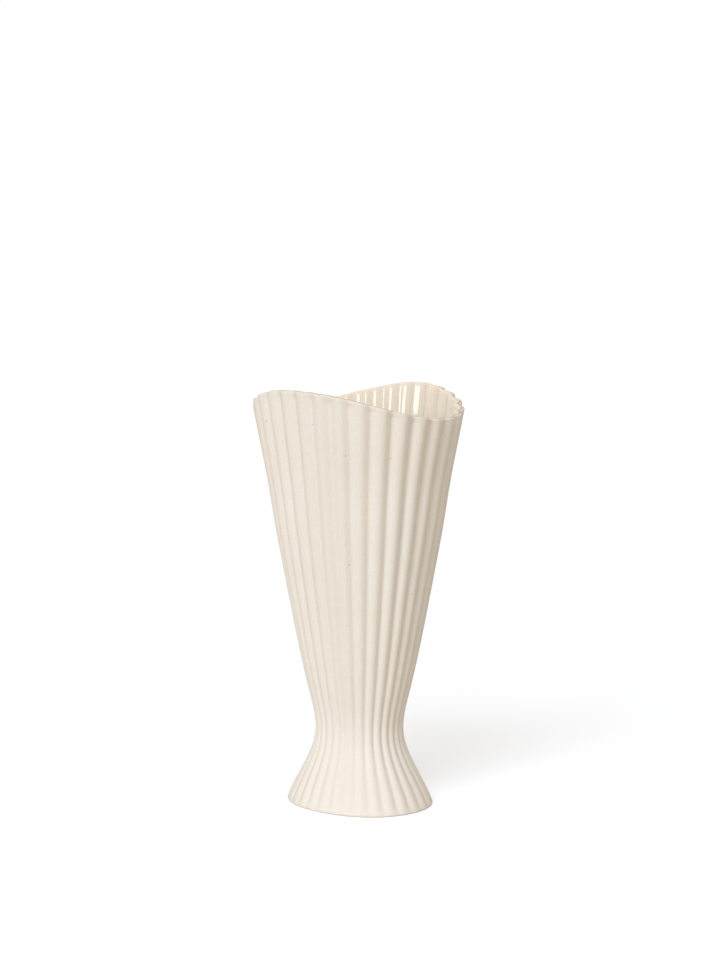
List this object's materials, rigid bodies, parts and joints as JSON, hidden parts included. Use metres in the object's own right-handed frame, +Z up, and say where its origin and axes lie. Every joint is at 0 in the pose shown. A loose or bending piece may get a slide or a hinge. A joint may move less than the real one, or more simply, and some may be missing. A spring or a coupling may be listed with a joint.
{
  "type": "vase",
  "caption": "Tall oval flower vase with fluting all round, a pinched waist over a flared foot and a rim that rises and falls in a wave; matt outside, glossy glaze inside.",
  "frame": {"origin": "on the table, under the middle of the foot", "axes": "+Z up towards the rim; +X along the wide way of the oval, towards a low end of the rim; +Y along the narrow way, towards a high side of the rim"},
  "size_m": [0.1212, 0.1052, 0.235],
  "materials": {
    "matt_stoneware": "matt uncoated stoneware, warm off-white, with fine grain and a few dark specks",
    "clear_cream_glaze": "glossy cream glaze, fired on"
  },
  "bodies": {
    "root": {"stoneware_body": "matt_stoneware", "inner_glaze": "clear_cream_glaze"}
  },
  "joints": []
}
